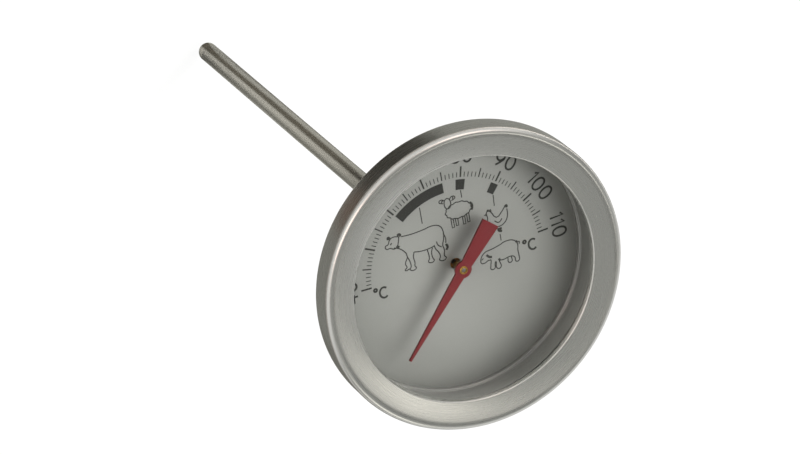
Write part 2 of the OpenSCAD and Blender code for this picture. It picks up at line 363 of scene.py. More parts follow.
def long_lines(tree, line_mm, length_mm):
    """A noise whose streaks run along Z."""
    place = add(tree, "TexCoord")
    thin, long = 1 / (line_mm * MM), 1 / (length_mm * MM)
    stretch = add(tree, "Mapping", [("Vector", place.outputs["Object"]), ("Scale", (thin, thin, long))])
    noise = add(tree, "TexNoise", [("Vector", stretch.outputs[0]), ("Scale", 1.0), ("Detail", 3.0)])
    return noise.outputs["Fac"]


def patches(tree, size_mm):
    """A soft, even noise, for finger marks and uneven polish."""
    place = add(tree, "TexCoord")
    noise = add(tree, "TexNoise", [("Vector", place.outputs["Object"]), ("Scale", 1 / (size_mm * MM)),
                                   ("Detail", 2.0)])
    return noise.outputs["Fac"]


# %% A finished surface from a colour, a roughness and a pattern
def finish(name, light, dark, pattern, rough=(0.3, 0.4), metallic=1.0, bump_mm=0.0, **settings):
    """A material whose colour and roughness follow a pattern, which can also press into the surface."""
    material = bpy.data.materials.new(name)
    material.use_nodes = True
    tree = material.node_tree
    tree.nodes.clear()
    factor = pattern(tree)
    colour = add(tree, "Mix", [("Factor", factor), (MIX_A, linear(dark)), (MIX_B, linear(light))],
                 data_type="RGBA")
    gloss = add(tree, "MapRange", [("Value", factor), ("From Min", 0.3), ("From Max", 0.7),
                                   ("To Min", rough[0]), ("To Max", rough[1])])
    shader = add(tree, "BsdfPrincipled", [("Base Color", colour.outputs[MIX_OUT]),
                                          ("Roughness", gloss.outputs["Result"]),
                                          ("Metallic", metallic)])
    if bump_mm:
        bump = add(tree, "Bump", [("Height", factor), ("Strength", 1.0), ("Distance", bump_mm * MM)])
        tree.links.new(bump.outputs["Normal"], shader.inputs["Normal"])
    for socket, value in settings.items():
        shader.inputs[socket.replace("_", " ")].default_value = value
    add(tree, "OutputMaterial", [("Surface", shader.outputs[0])])
    print("material", name)
    return material


def brush_round(material, amount):
    """Turns the shine of a material across brushing that runs round Z."""
    tree = material.node_tree
    shader = next(n for n in tree.nodes if n.type == "BSDF_PRINCIPLED")
    shader.inputs["Anisotropic"].default_value = amount
    tangent = add(tree, "Tangent", direction_type="RADIAL", axis="Z")
    tree.links.new(tangent.outputs[0], shader.inputs["Tangent"])
    return material


# Stainless steel, brushed on the lathe: a soft grey shine that is drawn out across the lines
brushed_stainless = brush_round(finish("brushed_stainless", "#CACAC5", "#C0C0BB",
                                       lambda tree: round_lines(tree, 0.1), (0.25, 0.31),
                                       bump_mm=0.0003), 0.5)
# Stainless steel, pressed from sheet: satin, with a faint ring pattern from the tool
pressed_stainless = finish("pressed_stainless", "#C6C3BB", "#B5B2AA",
                           lambda tree: round_lines(tree, 0.3), (0.3, 0.42), bump_mm=0.002)
# Stainless tube, drawn and polished along its length: nearly a mirror, with fine long lines
stem_stainless = finish("stem_stainless", "#C8C7C0", "#B6B3AD",
                        lambda tree: long_lines(tree, 0.15, 6), (0.22, 0.3), bump_mm=0.0015)

# %% [markdown]
# ## Turned parts
# Most of this object is round, so most of it starts as an outline: a few corners in millimetres, with
# the radius first and the height second. Bevelling single corners of that outline gives true bends of
# sheet metal, and a full spin round Z closes it into a solid.


# %% Outline, bends and spin
def turned(outline, bends=(), steps=192, closed=True):
    """A solid of revolution from corners (radius, height). Bends are {corner number: (radius, steps)}."""
    bm = bmesh.new()
    corners = [bm.verts.new((r * MM, 0, z * MM)) for r, z in outline]
    ends = corners[1:] + corners[:1] if closed else corners[1:]
    for pair in zip(corners, ends):
        bm.edges.new(pair)
    for number, (bend, segments) in dict(bends).items():
        bmesh.ops.bevel(bm, geom=[corners[number]], offset=bend * MM, offset_type="OFFSET",
                        segments=segments, profile=0.5, affect="VERTICES", material=-1)
    bmesh.ops.spin(bm, geom=bm.verts[:] + bm.edges[:], cent=(0, 0, 0), axis=(0, 0, 1), dvec=(0, 0, 0),
                   angle=2 * math.pi, steps=steps, use_merge=True)
    bmesh.ops.remove_doubles(bm, verts=bm.verts[:], dist=1e-7)
    return bm


FLAT_ABOVE = math.radians(32)


def piece(name, bm, material, body="root", node=None):
    """Makes a bmesh an object of the thermometer: smooth, with its finish, and fixed to its body."""
    bmesh.ops.recalc_face_normals(bm, faces=bm.faces[:])
    mesh = bpy.data.meshes.new(name)
    bm.to_mesh(mesh)
    bm.free()
    mesh.shade_smooth()
    mesh.set_sharp_from_angle(angle=FLAT_ABOVE)
    mesh.materials.append(material)
    obj = bpy.data.objects.new(name, mesh)
    scene.collection.objects.link(obj)
    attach(obj, body)
    if node:
        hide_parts(node)
    print(f"{name}: {len(mesh.polygons)} faces")
    return obj


# %% [markdown]
# ### Bezel
# One strip of sheet, rolled at both edges: it stands on the glass with a turned-down lip, slopes up to a
# crest, bends over into the side and is rolled in behind the flange of the case. The inside corners of
# the outline get smaller bends than the outside ones, so the sheet keeps its thickness.

# %% Bezel
SHEET = 0.5
OPENING_R = 21.85
FACE_LOW = FRONT - 0.6
CREST_R = 25.6
CRIMP_R = 24.3
REAR = low("bezel")

piece("rolled_bezel", turned(
    [(OPENING_R, GLASS_TOP), (OPENING_R, FACE_LOW), (CREST_R, FRONT), (BEZEL_R, FRONT), (BEZEL_R, REAR),
     (CRIMP_R, REAR), (CRIMP_R, REAR + SHEET), (BEZEL_R - SHEET, REAR + SHEET),
     (BEZEL_R - SHEET, FRONT - SHEET), (CREST_R, FRONT - SHEET), (OPENING_R + SHEET, FACE_LOW - SHEET),
     (OPENING_R + SHEET, GLASS_TOP)],
    {1: (0.25, 5), 2: (0.35, 4), 3: (1.04, 12), 4: (0.65, 8), 5: (0.12, 3), 6: (0.12, 3), 7: (0.15, 3),
     8: (0.55, 6), 10: (0.2, 3)}, steps=256), brushed_stainless, node="bezel")

# %% [markdown]
# ### Case, collar, stem and tip
# The case is a shallow cup with a flange, pressed with a raised seat for the collar. The collar is
# turned, with a taper at its lower end. The stem is one tube, and its round tip is a welded plug: a
# hair-thin groove between them is all that shows of the joint.

# %% Case
CASE_R = 23.9
CASE_BACK = low("case_cup")
FLANGE_TOP, FLANGE_R = high("case_cup"), radius("case_cup")
CASE_BEND = 3.0
COLLAR_R, COLLAR_TOP = radius("stem_collar"), high("stem_collar")
SEAT_R = COLLAR_R + 0.2
NECK_R = 1.61

piece("pressed_case", turned(
    [(NECK_R, COLLAR_TOP), (SEAT_R, COLLAR_TOP), (SEAT_R, CASE_BACK), (CASE_R, CASE_BACK),
     (CASE_R, FLANGE_TOP - SHEET), (FLANGE_R, FLANGE_TOP - SHEET), (FLANGE_R, FLANGE_TOP),
     (CASE_R - SHEET, FLANGE_TOP), (CASE_R - SHEET, CASE_BACK + SHEET),
     (SEAT_R + SHEET, CASE_BACK + SHEET), (SEAT_R + SHEET, COLLAR_TOP + SHEET),
     (NECK_R, COLLAR_TOP + SHEET)],
    {1: (0.12, 3), 2: (0.2, 4), 3: (CASE_BEND, 16), 4: (0.15, 3), 5: (0.1, 2), 6: (0.1, 2),
     7: (0.3, 4), 8: (CASE_BEND - SHEET, 14), 10: (0.12, 3)}), pressed_stainless, node="case_cup")

# %% Collar
TAPER = 1.0

piece("turned_collar", turned(
    [(NECK_R, 0), (COLLAR_R - TAPER, 0), (COLLAR_R, TAPER), (COLLAR_R, COLLAR_TOP), (NECK_R, COLLAR_TOP)],
    {1: (0.15, 3), 2: (0.25, 4), 3: (0.1, 2)}, steps=96), pressed_stainless, node="stem_collar")

# %% Stem and tip
STEM_WALL, CLEARANCE = 0.45, 0.01
BORE_R = STEM_R - STEM_WALL
TUBE_LOW, TUBE_TOP = low("stem_tube"), high("stem_tube")
LIP_R, LIP_H = radius("stem_tube"), 0.3
BAND_EDGE = 0.06
# A hair under the full radius, so that the pole keeps a point of its own
TIP_BEND = STEM_R - 0.01

piece("drawn_stem", turned(
    [(BORE_R, TUBE_LOW), (STEM_R, TUBE_LOW), (STEM_R, 0), (NECK_R - CLEARANCE, 0),
     (NECK_R - CLEARANCE, TUBE_TOP - LIP_H), (LIP_R, TUBE_TOP - LIP_H), (LIP_R, TUBE_TOP),
     (BORE_R, TUBE_TOP)],
    {1: (BAND_EDGE, 2), 2: (0.05, 2), 5: (0.08, 2), 6: (0.08, 2)}, steps=96), stem_stainless,
    node="stem_tube")

piece("round_tip", turned(
    [(0, TIP), (STEM_R, TIP), (STEM_R, TUBE_LOW), (BORE_R - CLEARANCE, TUBE_LOW),
     (BORE_R - CLEARANCE, high("stem_tip")), (0, high("stem_tip"))],
    {1: (TIP_BEND, 20), 2: (BAND_EDGE, 2), 4: (0.2, 2)}, steps=96, closed=False), stem_stainless,
    node="stem_tip")

# %% [markdown]
# ## Window
# The glass is a plain flat disc with ground edges. It is thin beside its distance to the eye, so bending
# the light through it would only shift the dial by a few tenths of a millimetre, and would make a render
# grainy. It is made as a clear surface with a true gloss instead: light passes straight through, and
# more is reflected the flatter it is looked at.

# %% Glass
window = bpy.data.materials.new("window_glass")
window.use_nodes = True
tree = window.node_tree
tree.nodes.clear()
# The index of window glass is 1.52. On a back face the Fresnel node takes the light to be inside the
# glass, where all of it is thrown back when it is flat. Here light goes straight through the pane, so
# the index is turned round on back faces, and both faces reflect by the same law
GLASS_INDEX = 1.52
facing = add(tree, "NewGeometry")
index = add(tree, "MapRange", [("Value", facing.outputs["Backfacing"]), ("To Min", GLASS_INDEX),
                               ("To Max", 1 / GLASS_INDEX)])
edge_on = add(tree, "Fresnel", [("IOR", index.outputs["Result"])])
clear = add(tree, "BsdfTransparent", [("Color", linear("#FEFEFE"))])
shine = add(tree, "BsdfGlossy", [("Color", linear("#FFFFFF")), ("Roughness", 0.02)])
mixed = add(tree, "MixShader", [("Fac", edge_on.outputs[0]), (1, clear.outputs[0]),
                                (2, shine.outputs[0])])
add(tree, "OutputMaterial", [("Surface", mixed.outputs[0])])

GLASS_R = radius("window_glass")
piece("window_pane", turned(
    [(0, GLASS_LOW), (GLASS_R, GLASS_LOW), (GLASS_R, GLASS_TOP), (0, GLASS_TOP)],
    {1: (0.2, 1), 2: (0.2, 1)}, closed=False), window, node="window_glass")

# %% [markdown]
# ## Dial, spacer ring and what lies behind them
# The dial is a disc of satin aluminium. A thin aluminium ring stands on its edge and carries the glass.
# Seen through the window it shows as the light line round the foot of the wall.

# %% Dial
DIAL_R, HOLE_R = radius("dial_plate"), 1.0
DIAL_LOW = low("dial_plate")
GRAIN_LENGTH, GRAIN_WIDTH = 6 * MM, 0.18 * MM


def sheet_grain(tree):
    """Fine rolling lines along X, and soft clouds, as on satin sheet aluminium."""
    place = add(tree, "TexCoord")
    squeeze = add(tree, "Mapping", [("Vector", place.outputs["Object"]),
                                    ("Scale", (1 / GRAIN_LENGTH, 1 / GRAIN_WIDTH, 1)),
                                    ("Rotation", (0, 0, math.radians(8)))])
    lines = add(tree, "TexNoise", [("Vector", squeeze.outputs[0]), ("Scale", 1.0), ("Detail", 2.0)])
    return lines.outputs["Fac"]


# Sheet aluminium with a clear satin lacquer: pale and matt, with a slight metal shine
dial_aluminium = finish("dial_aluminium", "#9B9C96", "#93948F", sheet_grain, (0.42, 0.5), metallic=0.1)
piece("dial_disc", turned(
    [(HOLE_R, DIAL_LOW), (DIAL_R, DIAL_LOW), (DIAL_R, DIAL_TOP), (HOLE_R, DIAL_TOP)],
    {1: (0.05, 2), 2: (0.05, 2), 3: (0.05, 2)}), dial_aluminium, node="dial_plate")

# %% Spacer ring
SPACER_R = radius("spacer_ring")
SPACER_T, FOOT_W, FOOT_H = 0.4, 0.4, 0.9
SPACER_IN, FOOT_R, FOOT_TOP = SPACER_R - SPACER_T, SPACER_R - SPACER_T - FOOT_W, DIAL_TOP + FOOT_H

# Aluminium strip, anodised clear: light grey, half metal and half pale coating
spacer_aluminium = finish("spacer_aluminium", "#A2A29D", "#9E9E99", lambda tree: patches(tree, 6),
                          (0.2, 0.22), metallic=0.5)
piece("spacer", turned(
    [(FOOT_R, DIAL_TOP), (SPACER_R, DIAL_TOP), (SPACER_R, GLASS_LOW), (SPACER_IN, GLASS_LOW),
     (SPACER_IN, FOOT_TOP), (FOOT_R, FOOT_TOP)],
    {2: (0.08, 2), 3: (0.08, 2), 4: (0.15, 3), 5: (0.25, 6)}), spacer_aluminium, node="spacer_ring")

# %% [markdown]
# ## The printed scale
# The scale is black ink on the dial, a few hundredths of a millimetre high. It reads from 40 to 110
# degrees Celsius over half a turn and a little less, at two and a half degrees of arc for each degree
# Celsius, with 75 at the top. Bars repeat in a loop, bands are short spins, and everything with a curved
# line is drawn with one round pen: a curve of a given thickness, made a mesh and pressed flat.

# %% Ink and the pen
INK_H = 0.03
ARC_PER_C = math.radians(2.5)
TOP_C = 75

# Screen-printed ink: nearly black and matt, and a little uneven where it lies thin
dial_ink = finish("dial_ink", "#2D2D29", "#252522", lambda tree: patches(tree, 0.8), (0.5, 0.6),
                  metallic=0.0)


def clock(celsius):
    """Turns a thing at the top of the dial to its place on the scale."""
    return Matrix.Rotation((TOP_C - celsius) * ARC_PER_C, 4, "Z")


def lift(x, y):
    """Moves a flat thing to a place on the dial's face, in millimetres from its centre."""
    return Matrix.Translation((x * MM, y * MM, DIAL_TOP * MM))


def pen(strokes, width):
    """A mesh of strokes, each (points in millimetres, closed, smooth), drawn with a round pen."""
    curve = bpy.data.curves.new("stroke", "CURVE")
    curve.dimensions = "3D"
    curve.bevel_depth = width * MM / 2
    curve.bevel_resolution = 1
    curve.resolution_u = 6
    curve.use_fill_caps = True
    for points, closed, smooth in strokes:
        spline = curve.splines.new("BEZIER")
        spline.bezier_points.add(len(points) - 1)
        spline.use_cyclic_u = closed
        for knot, (x, y) in zip(spline.bezier_points, points):
            knot.co = (x * MM, y * MM, 0)
            knot.handle_left_type = knot.handle_right_type = "AUTO" if smooth else "VECTOR"
    drawing = bpy.data.objects.new("stroke", curve)
    scene.collection.objects.link(drawing)
    mesh = bpy.data.meshes.new_from_object(
        drawing.evaluated_get(bpy.context.evaluated_depsgraph_get()))
    bpy.data.objects.remove(drawing)
    bpy.data.curves.remove(curve)
    mesh.transform(Matrix.Diagonal((1, 1, INK_H / width, 1)))
    return mesh


def ink(name, *parts):
    """One printed piece from (mesh, place) pairs."""
    bm = bmesh.new()
    for mesh, where in parts:
        mesh.transform(where)
        bm.from_mesh(mesh)
        bpy.data.meshes.remove(mesh)
    return piece(name, bm, dial_ink)


# %% Bars: the marks of the scale
def bar(bm, inner, outer, width, where):
    """A thin printed bar along the radius, from one radius to another."""
    size = Matrix.Diagonal((width * MM, (outer - inner) * MM, INK_H * MM, 1))
    middle = Matrix.Translation((0, (inner + outer) / 2 * MM, DIAL_TOP * MM))
    bmesh.ops.create_cube(bm, size=1, matrix=where @ middle @ size)


FIRST_C, LAST_C = 40, 110
MARK_R = 15.5

bm = bmesh.new()
for celsius in range(FIRST_C, LAST_C + 1):
    if celsius % 10 == 0:
        bar(bm, MARK_R, 17.4, 0.3, clock(celsius))
    elif celsius % 5 == 0:
        bar(bm, MARK_R, 17.1, 0.22, clock(celsius))
    else:
        bar(bm, MARK_R, 16.4, 0.15, clock(celsius))
piece("scale_marks", bm, dial_ink)

# %% Bands: where beef, lamb and poultry are done
def band(bm, inner, outer, from_c, to_c):
    """A printed band between two radii and two temperatures: a flat bar, spun along the scale."""
    under, over = -INK_H / 2, INK_H / 2
    corners = [bm.verts.new((0, r * MM, (DIAL_TOP + h) * MM))
               for r, h in ((inner, under), (outer, under), (outer, over), (inner, over))]
    face = bm.faces.new(corners)
    bmesh.ops.rotate(bm, verts=corners, cent=(0, 0, 0), matrix=clock(from_c).to_3x3())
    steps = max(2, round((to_c - from_c) * 2))
    bmesh.ops.spin(bm, geom=[face], cent=(0, 0, 0), axis=(0, 0, -1), dvec=(0, 0, 0),
                   angle=(to_c - from_c) * ARC_PER_C, steps=steps)


BAND_R = (13.25, 15.1)
DONE_C = [(60, 75), (78.7, 81.3), (88.9, 91.1)]

bm = bmesh.new()
for from_c, to_c in DONE_C:
    band(bm, *BAND_R, from_c, to_c)
piece("scale_bands", bm, dial_ink)

# %% [markdown]
# ### Numbers
# The numbers are thin and round-ended, as drawn with one pen. Each figure is a stroke or two in a box
# 1.9 wide and 3 high, so a small list of strokes says more than a font file would. One factor brings
# them to their real height of two and a half millimetres.

# %% Figures
FIGURE_H = 3.0
FIGURE_GAP = 0.72
FIGURE_SCALE = 0.84
NUMBER_PEN = 0.36


def oval(x, y, across, high_up):
    """A closed smooth stroke round a middle point."""
    return ([(x, y + high_up), (x + across, y), (x, y - high_up), (x - across, y)], True, True)


FIGURES = {
    "0": (1.9, [oval(0.95, 1.5, 0.92, 1.48)]),
    "1": (0.85, [([(0.1, 2.35), (0.7, 2.95), (0.7, 0.02)], False, False)]),
    "4": (1.9, [([(1.35, 0.02), (1.35, 2.95), (0.05, 0.85), (1.85, 0.85)], False, False)]),
    "5": (1.8, [([(1.6, 2.95), (0.45, 2.95), (0.25, 1.65)], False, False),
                ([(0.25, 1.65), (1.0, 1.9), (1.72, 1.0), (0.9, 0.03), (0.05, 0.5)], False, True)]),
    "6": (1.85, [([(1.35, 2.95), (0.5, 1.95), (0.05, 0.95), (0.92, 0.03), (1.8, 0.95), (0.95, 1.85),
                   (0.12, 1.2)], False, True)]),
    "7": (1.7, [([(0.05, 2.95), (1.65, 2.95), (0.55, 0.02)], False, False)]),
    "8": (1.85, [oval(0.92, 2.25, 0.72, 0.7), oval(0.92, 0.82, 0.88, 0.8)]),
    "9": (1.85, [([(0.5, 0.03), (1.35, 1.03), (1.8, 2.03), (0.93, 2.95), (0.05, 2.03), (0.9, 1.13),
                   (1.73, 1.78)], False, True)]),
}


def number(text):
    """The strokes of a number, centred on its middle."""
    strokes, start = [], 0
    for figure in text:
        width, drawn = FIGURES[figure]
        strokes += [([(x + start, y) for x, y in points], closed, smooth)
                    for points, closed, smooth in drawn]
        start += width + FIGURE_GAP
    middle = (start - FIGURE_GAP) / 2
    return [([((x - middle) * FIGURE_SCALE, (y - FIGURE_H / 2) * FIGURE_SCALE) for x, y in points],
             closed, smooth) for points, closed, smooth in strokes]


NUMBER_R = 19.35
ink("scale_numbers", *[(pen(number(str(celsius)), NUMBER_PEN), clock(celsius) @ lift(0, NUMBER_R))
                       for celsius in range(FIRST_C, LAST_C + 1, 10)])

# %% Degree signs
def degree_c():
    """A small ring and a C, drawn from the ring's side to the right."""
    arc = [math.radians(a) for a in range(48, 313, 22)]
    letter = [(1.45 + 0.78 * math.cos(a), 0.95 * math.sin(a)) for a in arc]
    return [oval(0, 0.85, 0.26, 0.26), (letter, False, True)]


ink("degree_signs", (pen(degree_c(), NUMBER_PEN), lift(-14.9, -0.85)),
    (pen(degree_c(), NUMBER_PEN), lift(12.8, -1.15)))

# %% [markdown]
# ### Animals
# Four little outlines show which meat each band is for. They are plain signs: a few strokes each, drawn
# facing left in millimetres round the middle of the body, with a few blots from a broader pen.

# %% Cow
COW = [
    ([(-2.7, 2.75), (-1.2, 2.6), (1.2, 2.65), (3.3, 2.8), (4.4, 2.3), (4.8, 1.3), (4.7, -0.1),
      (4.35, -1.2), (4.5, -2.2), (4.35, -3.2), (4.6, -3.7), (3.4, -3.75), (3.6, -3.1), (3.45, -2.3),
      (3.0, -1.5), (2.8, -0.7)], False, True),
    ([(2.8, -0.9), (1.6, -1.05), (0.2, -1.0), (-0.9, -0.75)], False, True),
    ([(-0.9, -0.75), (-1.15, -1.6), (-1.05, -2.7), (-1.15, -3.3), (-0.95, -3.7), (-2.1, -3.7),
      (-1.85, -3.2), (-1.9, -2.2), (-2.2, -1.2), (-2.3, -0.5)], False, True),
    ([(-2.3, -0.5), (-2.9, 0.3), (-3.6, 0.85), (-4.3, 1.15)], False, True),
    ([(-3.1, 2.9), (-4.3, 3.1), (-4.85, 2.75), (-5.2, 2.1), (-5.75, 1.85), (-5.6, 1.35), (-4.9, 1.3),
      (-4.3, 0.95), (-3.75, 1.1), (-3.35, 1.9), (-3.1, 2.9)], False, True),
    ([(2.45, -1.05), (2.15, -2.0), (2.25, -3.0), (2.4, -3.45), (1.4, -3.45), (1.6, -2.8), (1.5, -1.1)],
     False, True),
    ([(-2.2, -1.3), (-2.75, -2.4), (-2.6, -3.1), (-3.0, -3.5), (-2.15, -3.5)], False, True),
    ([(4.75, 0.9), (5.05, -0.2), (4.95, -1.0)], False, True),
    ([(3.35, -0.2), (3.5, -0.9), (4.1, -1.5)], False, True),
]
COW_BLOTS = [[(-3.35, 3.1), (-3.0, 3.3), (-2.75, 2.85)], [(-4.75, 3.0), (-5.0, 3.3), (-5.1, 2.9)],
             [(4.95, -1.2), (5.15, -1.8), (4.85, -2.3)], [(-3.75, 1.35), (-3.3, 0.95)],
             [(-4.75, 2.1), (-4.6, 1.95)]]

# %% Sheep
WOOL_BUMPS = 13


def wool(x, y, across, high_up):
    """A closed woolly outline: an oval whose edge swells between its points."""
    turns = [2 * math.pi * i / (2 * WOOL_BUMPS) for i in range(2 * WOOL_BUMPS)]
    swell = [1.04 if i % 2 else 0.97 for i in range(2 * WOOL_BUMPS)]
    return ([(x + across * s * math.cos(a), y + high_up * s * math.sin(a)) for a, s in zip(turns, swell)],
            True, True)


def leg(x, top, foot, width=0.42):
    """A short straight leg with a small hoof."""
    return ([(x, top), (x, foot), (x + width, foot), (x + width, top)], False, False)


SHEEP = [wool(0.45, 0.0, 2.35, 1.45),
         oval(-1.3, 1.75, 0.6, 0.95),
         ([(-1.75, 2.4), (-2.35, 2.75), (-2.75, 2.45), (-2.1, 2.0)], False, True),
         ([(-0.85, 2.4), (-0.3, 2.8), (0.2, 2.5), (-0.5, 2.05)], False, True),
         leg(-1.15, -1.2, -2.85), leg(-0.35, -1.4, -2.7), leg(0.95, -1.4, -2.85), leg(1.75, -1.15, -2.7)]
SHEEP_BLOTS = [[(2.65, 0.75), (3.0, 0.1), (2.8, -0.75)], [(-1.35, 0.95), (-1.2, 0.9)],
               [(-2.3, 2.5), (-2.1, 2.35)], [(-0.3, 2.5), (-0.1, 2.45)]]

# %% Hen
HEN = [
    ([(-1.75, 1.6), (-1.65, 0.9), (-1.75, 0.1), (-1.1, -0.85), (0.2, -1.25), (1.3, -0.85), (1.95, 0.2),
      (2.05, 1.5)], False, True),
    ([(-1.75, 1.6), (-1.65, 2.0), (-1.2, 2.05), (-0.75, 1.5), (-0.35, 0.75), (0.1, 0.55), (0.9, 1.1),
      (1.75, 2.0)], False, True),
    ([(-1.75, 1.75), (-2.15, 1.55), (-1.75, 1.4)], False, False),
    ([(-1.6, 2.05), (-1.4, 2.35), (-1.15, 2.1), (-0.95, 2.25), (-0.85, 1.8)], False, True),
    ([(-0.5, 0.0), (0.2, -0.5), (0.9, 0.0)], False, True),
]
HEN_BLOTS = [[(1.75, 1.9), (2.0, 2.1), (2.05, 1.7)], [(-0.05, -1.5), (0.0, -2.0), (0.55, -2.25)],
             [(0.35, -1.5), (0.4, -1.95)]]

# %% Pig
PIG = [
    ([(-2.5, 1.4), (-1.3, 1.5), (0.0, 1.75), (1.4, 2.1), (2.9, 1.75), (3.4, 1.0), (3.3, -0.3),
      (3.35, -1.2), (3.25, -2.1), (2.7, -2.15), (2.55, -1.3), (2.1, -0.95), (0.4, -1.05), (-0.4, -0.95)],
     False, True),
    ([(-2.5, 1.4), (-3.2, 0.9), (-3.6, 0.1), (-3.55, -0.45), (-2.95, -0.6), (-2.3, -0.35), (-1.7, -0.4)],
     False, True),
    ([(-1.75, -0.5), (-1.95, -1.4), (-2.0, -2.1), (-1.35, -2.15), (-1.15, -1.3), (-0.95, -0.9)],
     False, True),
    ([(-0.9, -1.0), (-0.85, -2.3), (-0.25, -2.3), (-0.3, -1.0)], False, True),
    ([(1.3, -1.05), (1.35, -1.9), (1.9, -1.9), (1.95, -1.0)], False, True),
    ([(3.35, 1.2), (3.75, 1.25), (3.7, 0.8)], False, True),
]
PIG_BLOTS = [[(-2.45, 0.75), (-1.9, 0.2), (-1.5, 0.1)], [(-3.3, 0.3), (-3.2, 0.15)],
             [(3.2, 1.55), (3.35, 1.3)], [(-0.35, -0.6), (-0.2, -0.95)]]

# %% Print the animals and their leader lines
ANIMAL_PEN, BLOT_PEN = 0.2, 0.42
LEADER_PEN = 0.18

for name, strokes, blots, x, y in (("cow_outline", COW, COW_BLOTS, -6.1, 5.3),
                                   ("sheep_outline", SHEEP, SHEEP_BLOTS, 1.6, 9.4),
                                   ("hen_outline", HEN, HEN_BLOTS, 8.6, 5.3),
                                   ("pig_outline", PIG, PIG_BLOTS, 8.1, -1.1)):
    ink(name, (pen(strokes, ANIMAL_PEN), lift(x, y)),
        (pen([(points, False, True) for points in blots], BLOT_PEN), lift(x, y)))

LEADERS = [((-4.7, 12.1), (-4.7, 9.1)), ((3.0, 12.8), (3.0, 11.4)), ((8.6, 10.0), (8.5, 8.0)),
           ((8.7, 2.6), (8.7, 1.4))]
ink("leader_lines", (pen([(ends, False, False) for ends in LEADERS], LEADER_PEN), lift(0, 0)))

# %% [markdown]
# ## Pointer and its bush
# The pointer is stamped from thin sheet and painted red. Blade, tail and hub are stamped as one, so they
# are joined with a Boolean union and then get one small bevel all round, as the paint rounds the edges.
# A brass bush is riveted through the hub, and the end of the spindle shows as a dark spot in it.

# %% Pointer
POINTER_LOW, POINTER_TOP = low("pointer"), high("pointer")
TIP_W, ROOT_W, TAIL_W = 0.4, 1.9, 3.35
TAIL_L, HUB_R, RIVET_R = 9.2, 1.5, 0.56
PAINT_EDGE, EDGE_STEPS = 0.07, 3
REST_C = 20

corners = [Vector(v.co.xy) / MM for v in frame["nodes"]["pointer"].data.vertices]
TIP_L = math.sqrt(max(c.length_squared for c in corners) - (TIP_W / 2) ** 2)


def plate(outline, low_z, high_z):
    """A flat plate from an outline, as an object that a Boolean can use."""
    bm = bmesh.new()
    face = bm.faces.new([bm.verts.new((x * MM, y * MM, low_z * MM)) for x, y in outline])
    grown = bmesh.ops.extrude_face_region(bm, geom=[face])
    moved = [v for v in grown["geom"] if isinstance(v, bmesh.types.BMVert)]
    bmesh.ops.translate(bm, verts=moved, vec=(0, 0, (high_z - low_z) * MM))
    bmesh.ops.recalc_face_normals(bm, faces=bm.faces[:])
    return tool(bm)


def tool(bm):
    """A helper object from a bmesh, which is removed once it has been used."""
    mesh = bpy.data.meshes.new("tool")
    bm.to_mesh(mesh)
    bm.free()
    obj = bpy.data.objects.new("tool", mesh)
    scene.collection.objects.link(obj)
    return obj


def disc(r, low_z, high_z):
    """A round plate or cutter."""
    bm = bmesh.new()
    bmesh.ops.create_cone(bm, cap_ends=True, segments=96, radius1=r * MM, radius2=r * MM,
                          depth=(high_z - low_z) * MM,
                          matrix=Matrix.Translation((0, 0, (low_z + high_z) / 2 * MM)))
    return tool(bm)


blade = plate([(TIP_W / 2, TIP_L), (-TIP_W / 2, TIP_L), (-ROOT_W / 2, 0), (-TAIL_W / 2, -TAIL_L),
               (TAIL_W / 2, -TAIL_L), (ROOT_W / 2, 0)], POINTER_LOW, POINTER_TOP)
helpers = [(disc(HUB_R, POINTER_LOW, POINTER_TOP), "UNION"),
           (disc(RIVET_R, POINTER_LOW - 1, POINTER_TOP + 1), "DIFFERENCE")]
for helper, operation in helpers:
    cut = blade.modifiers.new(operation, "BOOLEAN")
    cut.operation, cut.object, cut.solver = operation, helper, "EXACT"
edge = blade.modifiers.new("edge", "BEVEL")
edge.width, edge.segments, edge.angle_limit = PAINT_EDGE * MM, EDGE_STEPS, math.radians(40)
shape = bpy.data.meshes.new_from_object(blade.evaluated_get(bpy.context.evaluated_depsgraph_get()))
for spent in [blade] + [helper for helper, operation in helpers]:
    bpy.data.objects.remove(spent)

# Sheet metal with red stove enamel: smooth, with a faint orange peel
red_paint = finish("red_paint", "#701B1F", "#69181C", lambda tree: patches(tree, 0.5), (0.3, 0.38),
                   metallic=0.0, bump_mm=0.004)
bm = bmesh.new()
bm.from_mesh(shape)
bmesh.ops.rotate(bm, verts=bm.verts[:], cent=(0, 0, 0), matrix=clock(REST_C).to_3x3())
piece("red_pointer", bm, red_paint, "pointer_spindle", "pointer")

# %% Brass bush
SPINDLE_R, BUSH_R = 0.4, radius("pointer_bush")
# Brass, turned on an automatic lathe: bright yellow with fine rings
brass = finish("brass", "#D9B36A", "#B98F45", lambda tree: round_lines(tree, 0.08), (0.2, 0.32),
               bump_mm=0.001)
piece("riveted_bush", turned(
    [(SPINDLE_R + CLEARANCE, low("pointer_bush")), (BUSH_R, low("pointer_bush")), (BUSH_R, POINTER_LOW),
     (RIVET_R - CLEARANCE, POINTER_LOW), (RIVET_R - CLEARANCE, POINTER_TOP), (BUSH_R, POINTER_TOP),
     (BUSH_R, high("pointer_bush")), (SPINDLE_R + CLEARANCE, high("pointer_bush"))],
    {1: (0.06, 2), 6: (0.2, 5), 7: (0.06, 2)}, steps=64), brass, "pointer_spindle", "pointer_bush")

# %% [markdown]
# ## The parts inside
# None of these show through the window, but the object is whole: it can be taken apart, cut open or
# seen without its case. Most are simple rings, so a short list of corners and a loop turn them all.

# %% Finishes of the inner parts
# Silicone rubber, moulded: matt and dark
silicone = finish("silicone_rubber", "#3A3A38", "#313130", lambda tree: patches(tree, 0.4), (0.6, 0.75),
                  metallic=0.0, bump_mm=0.01)
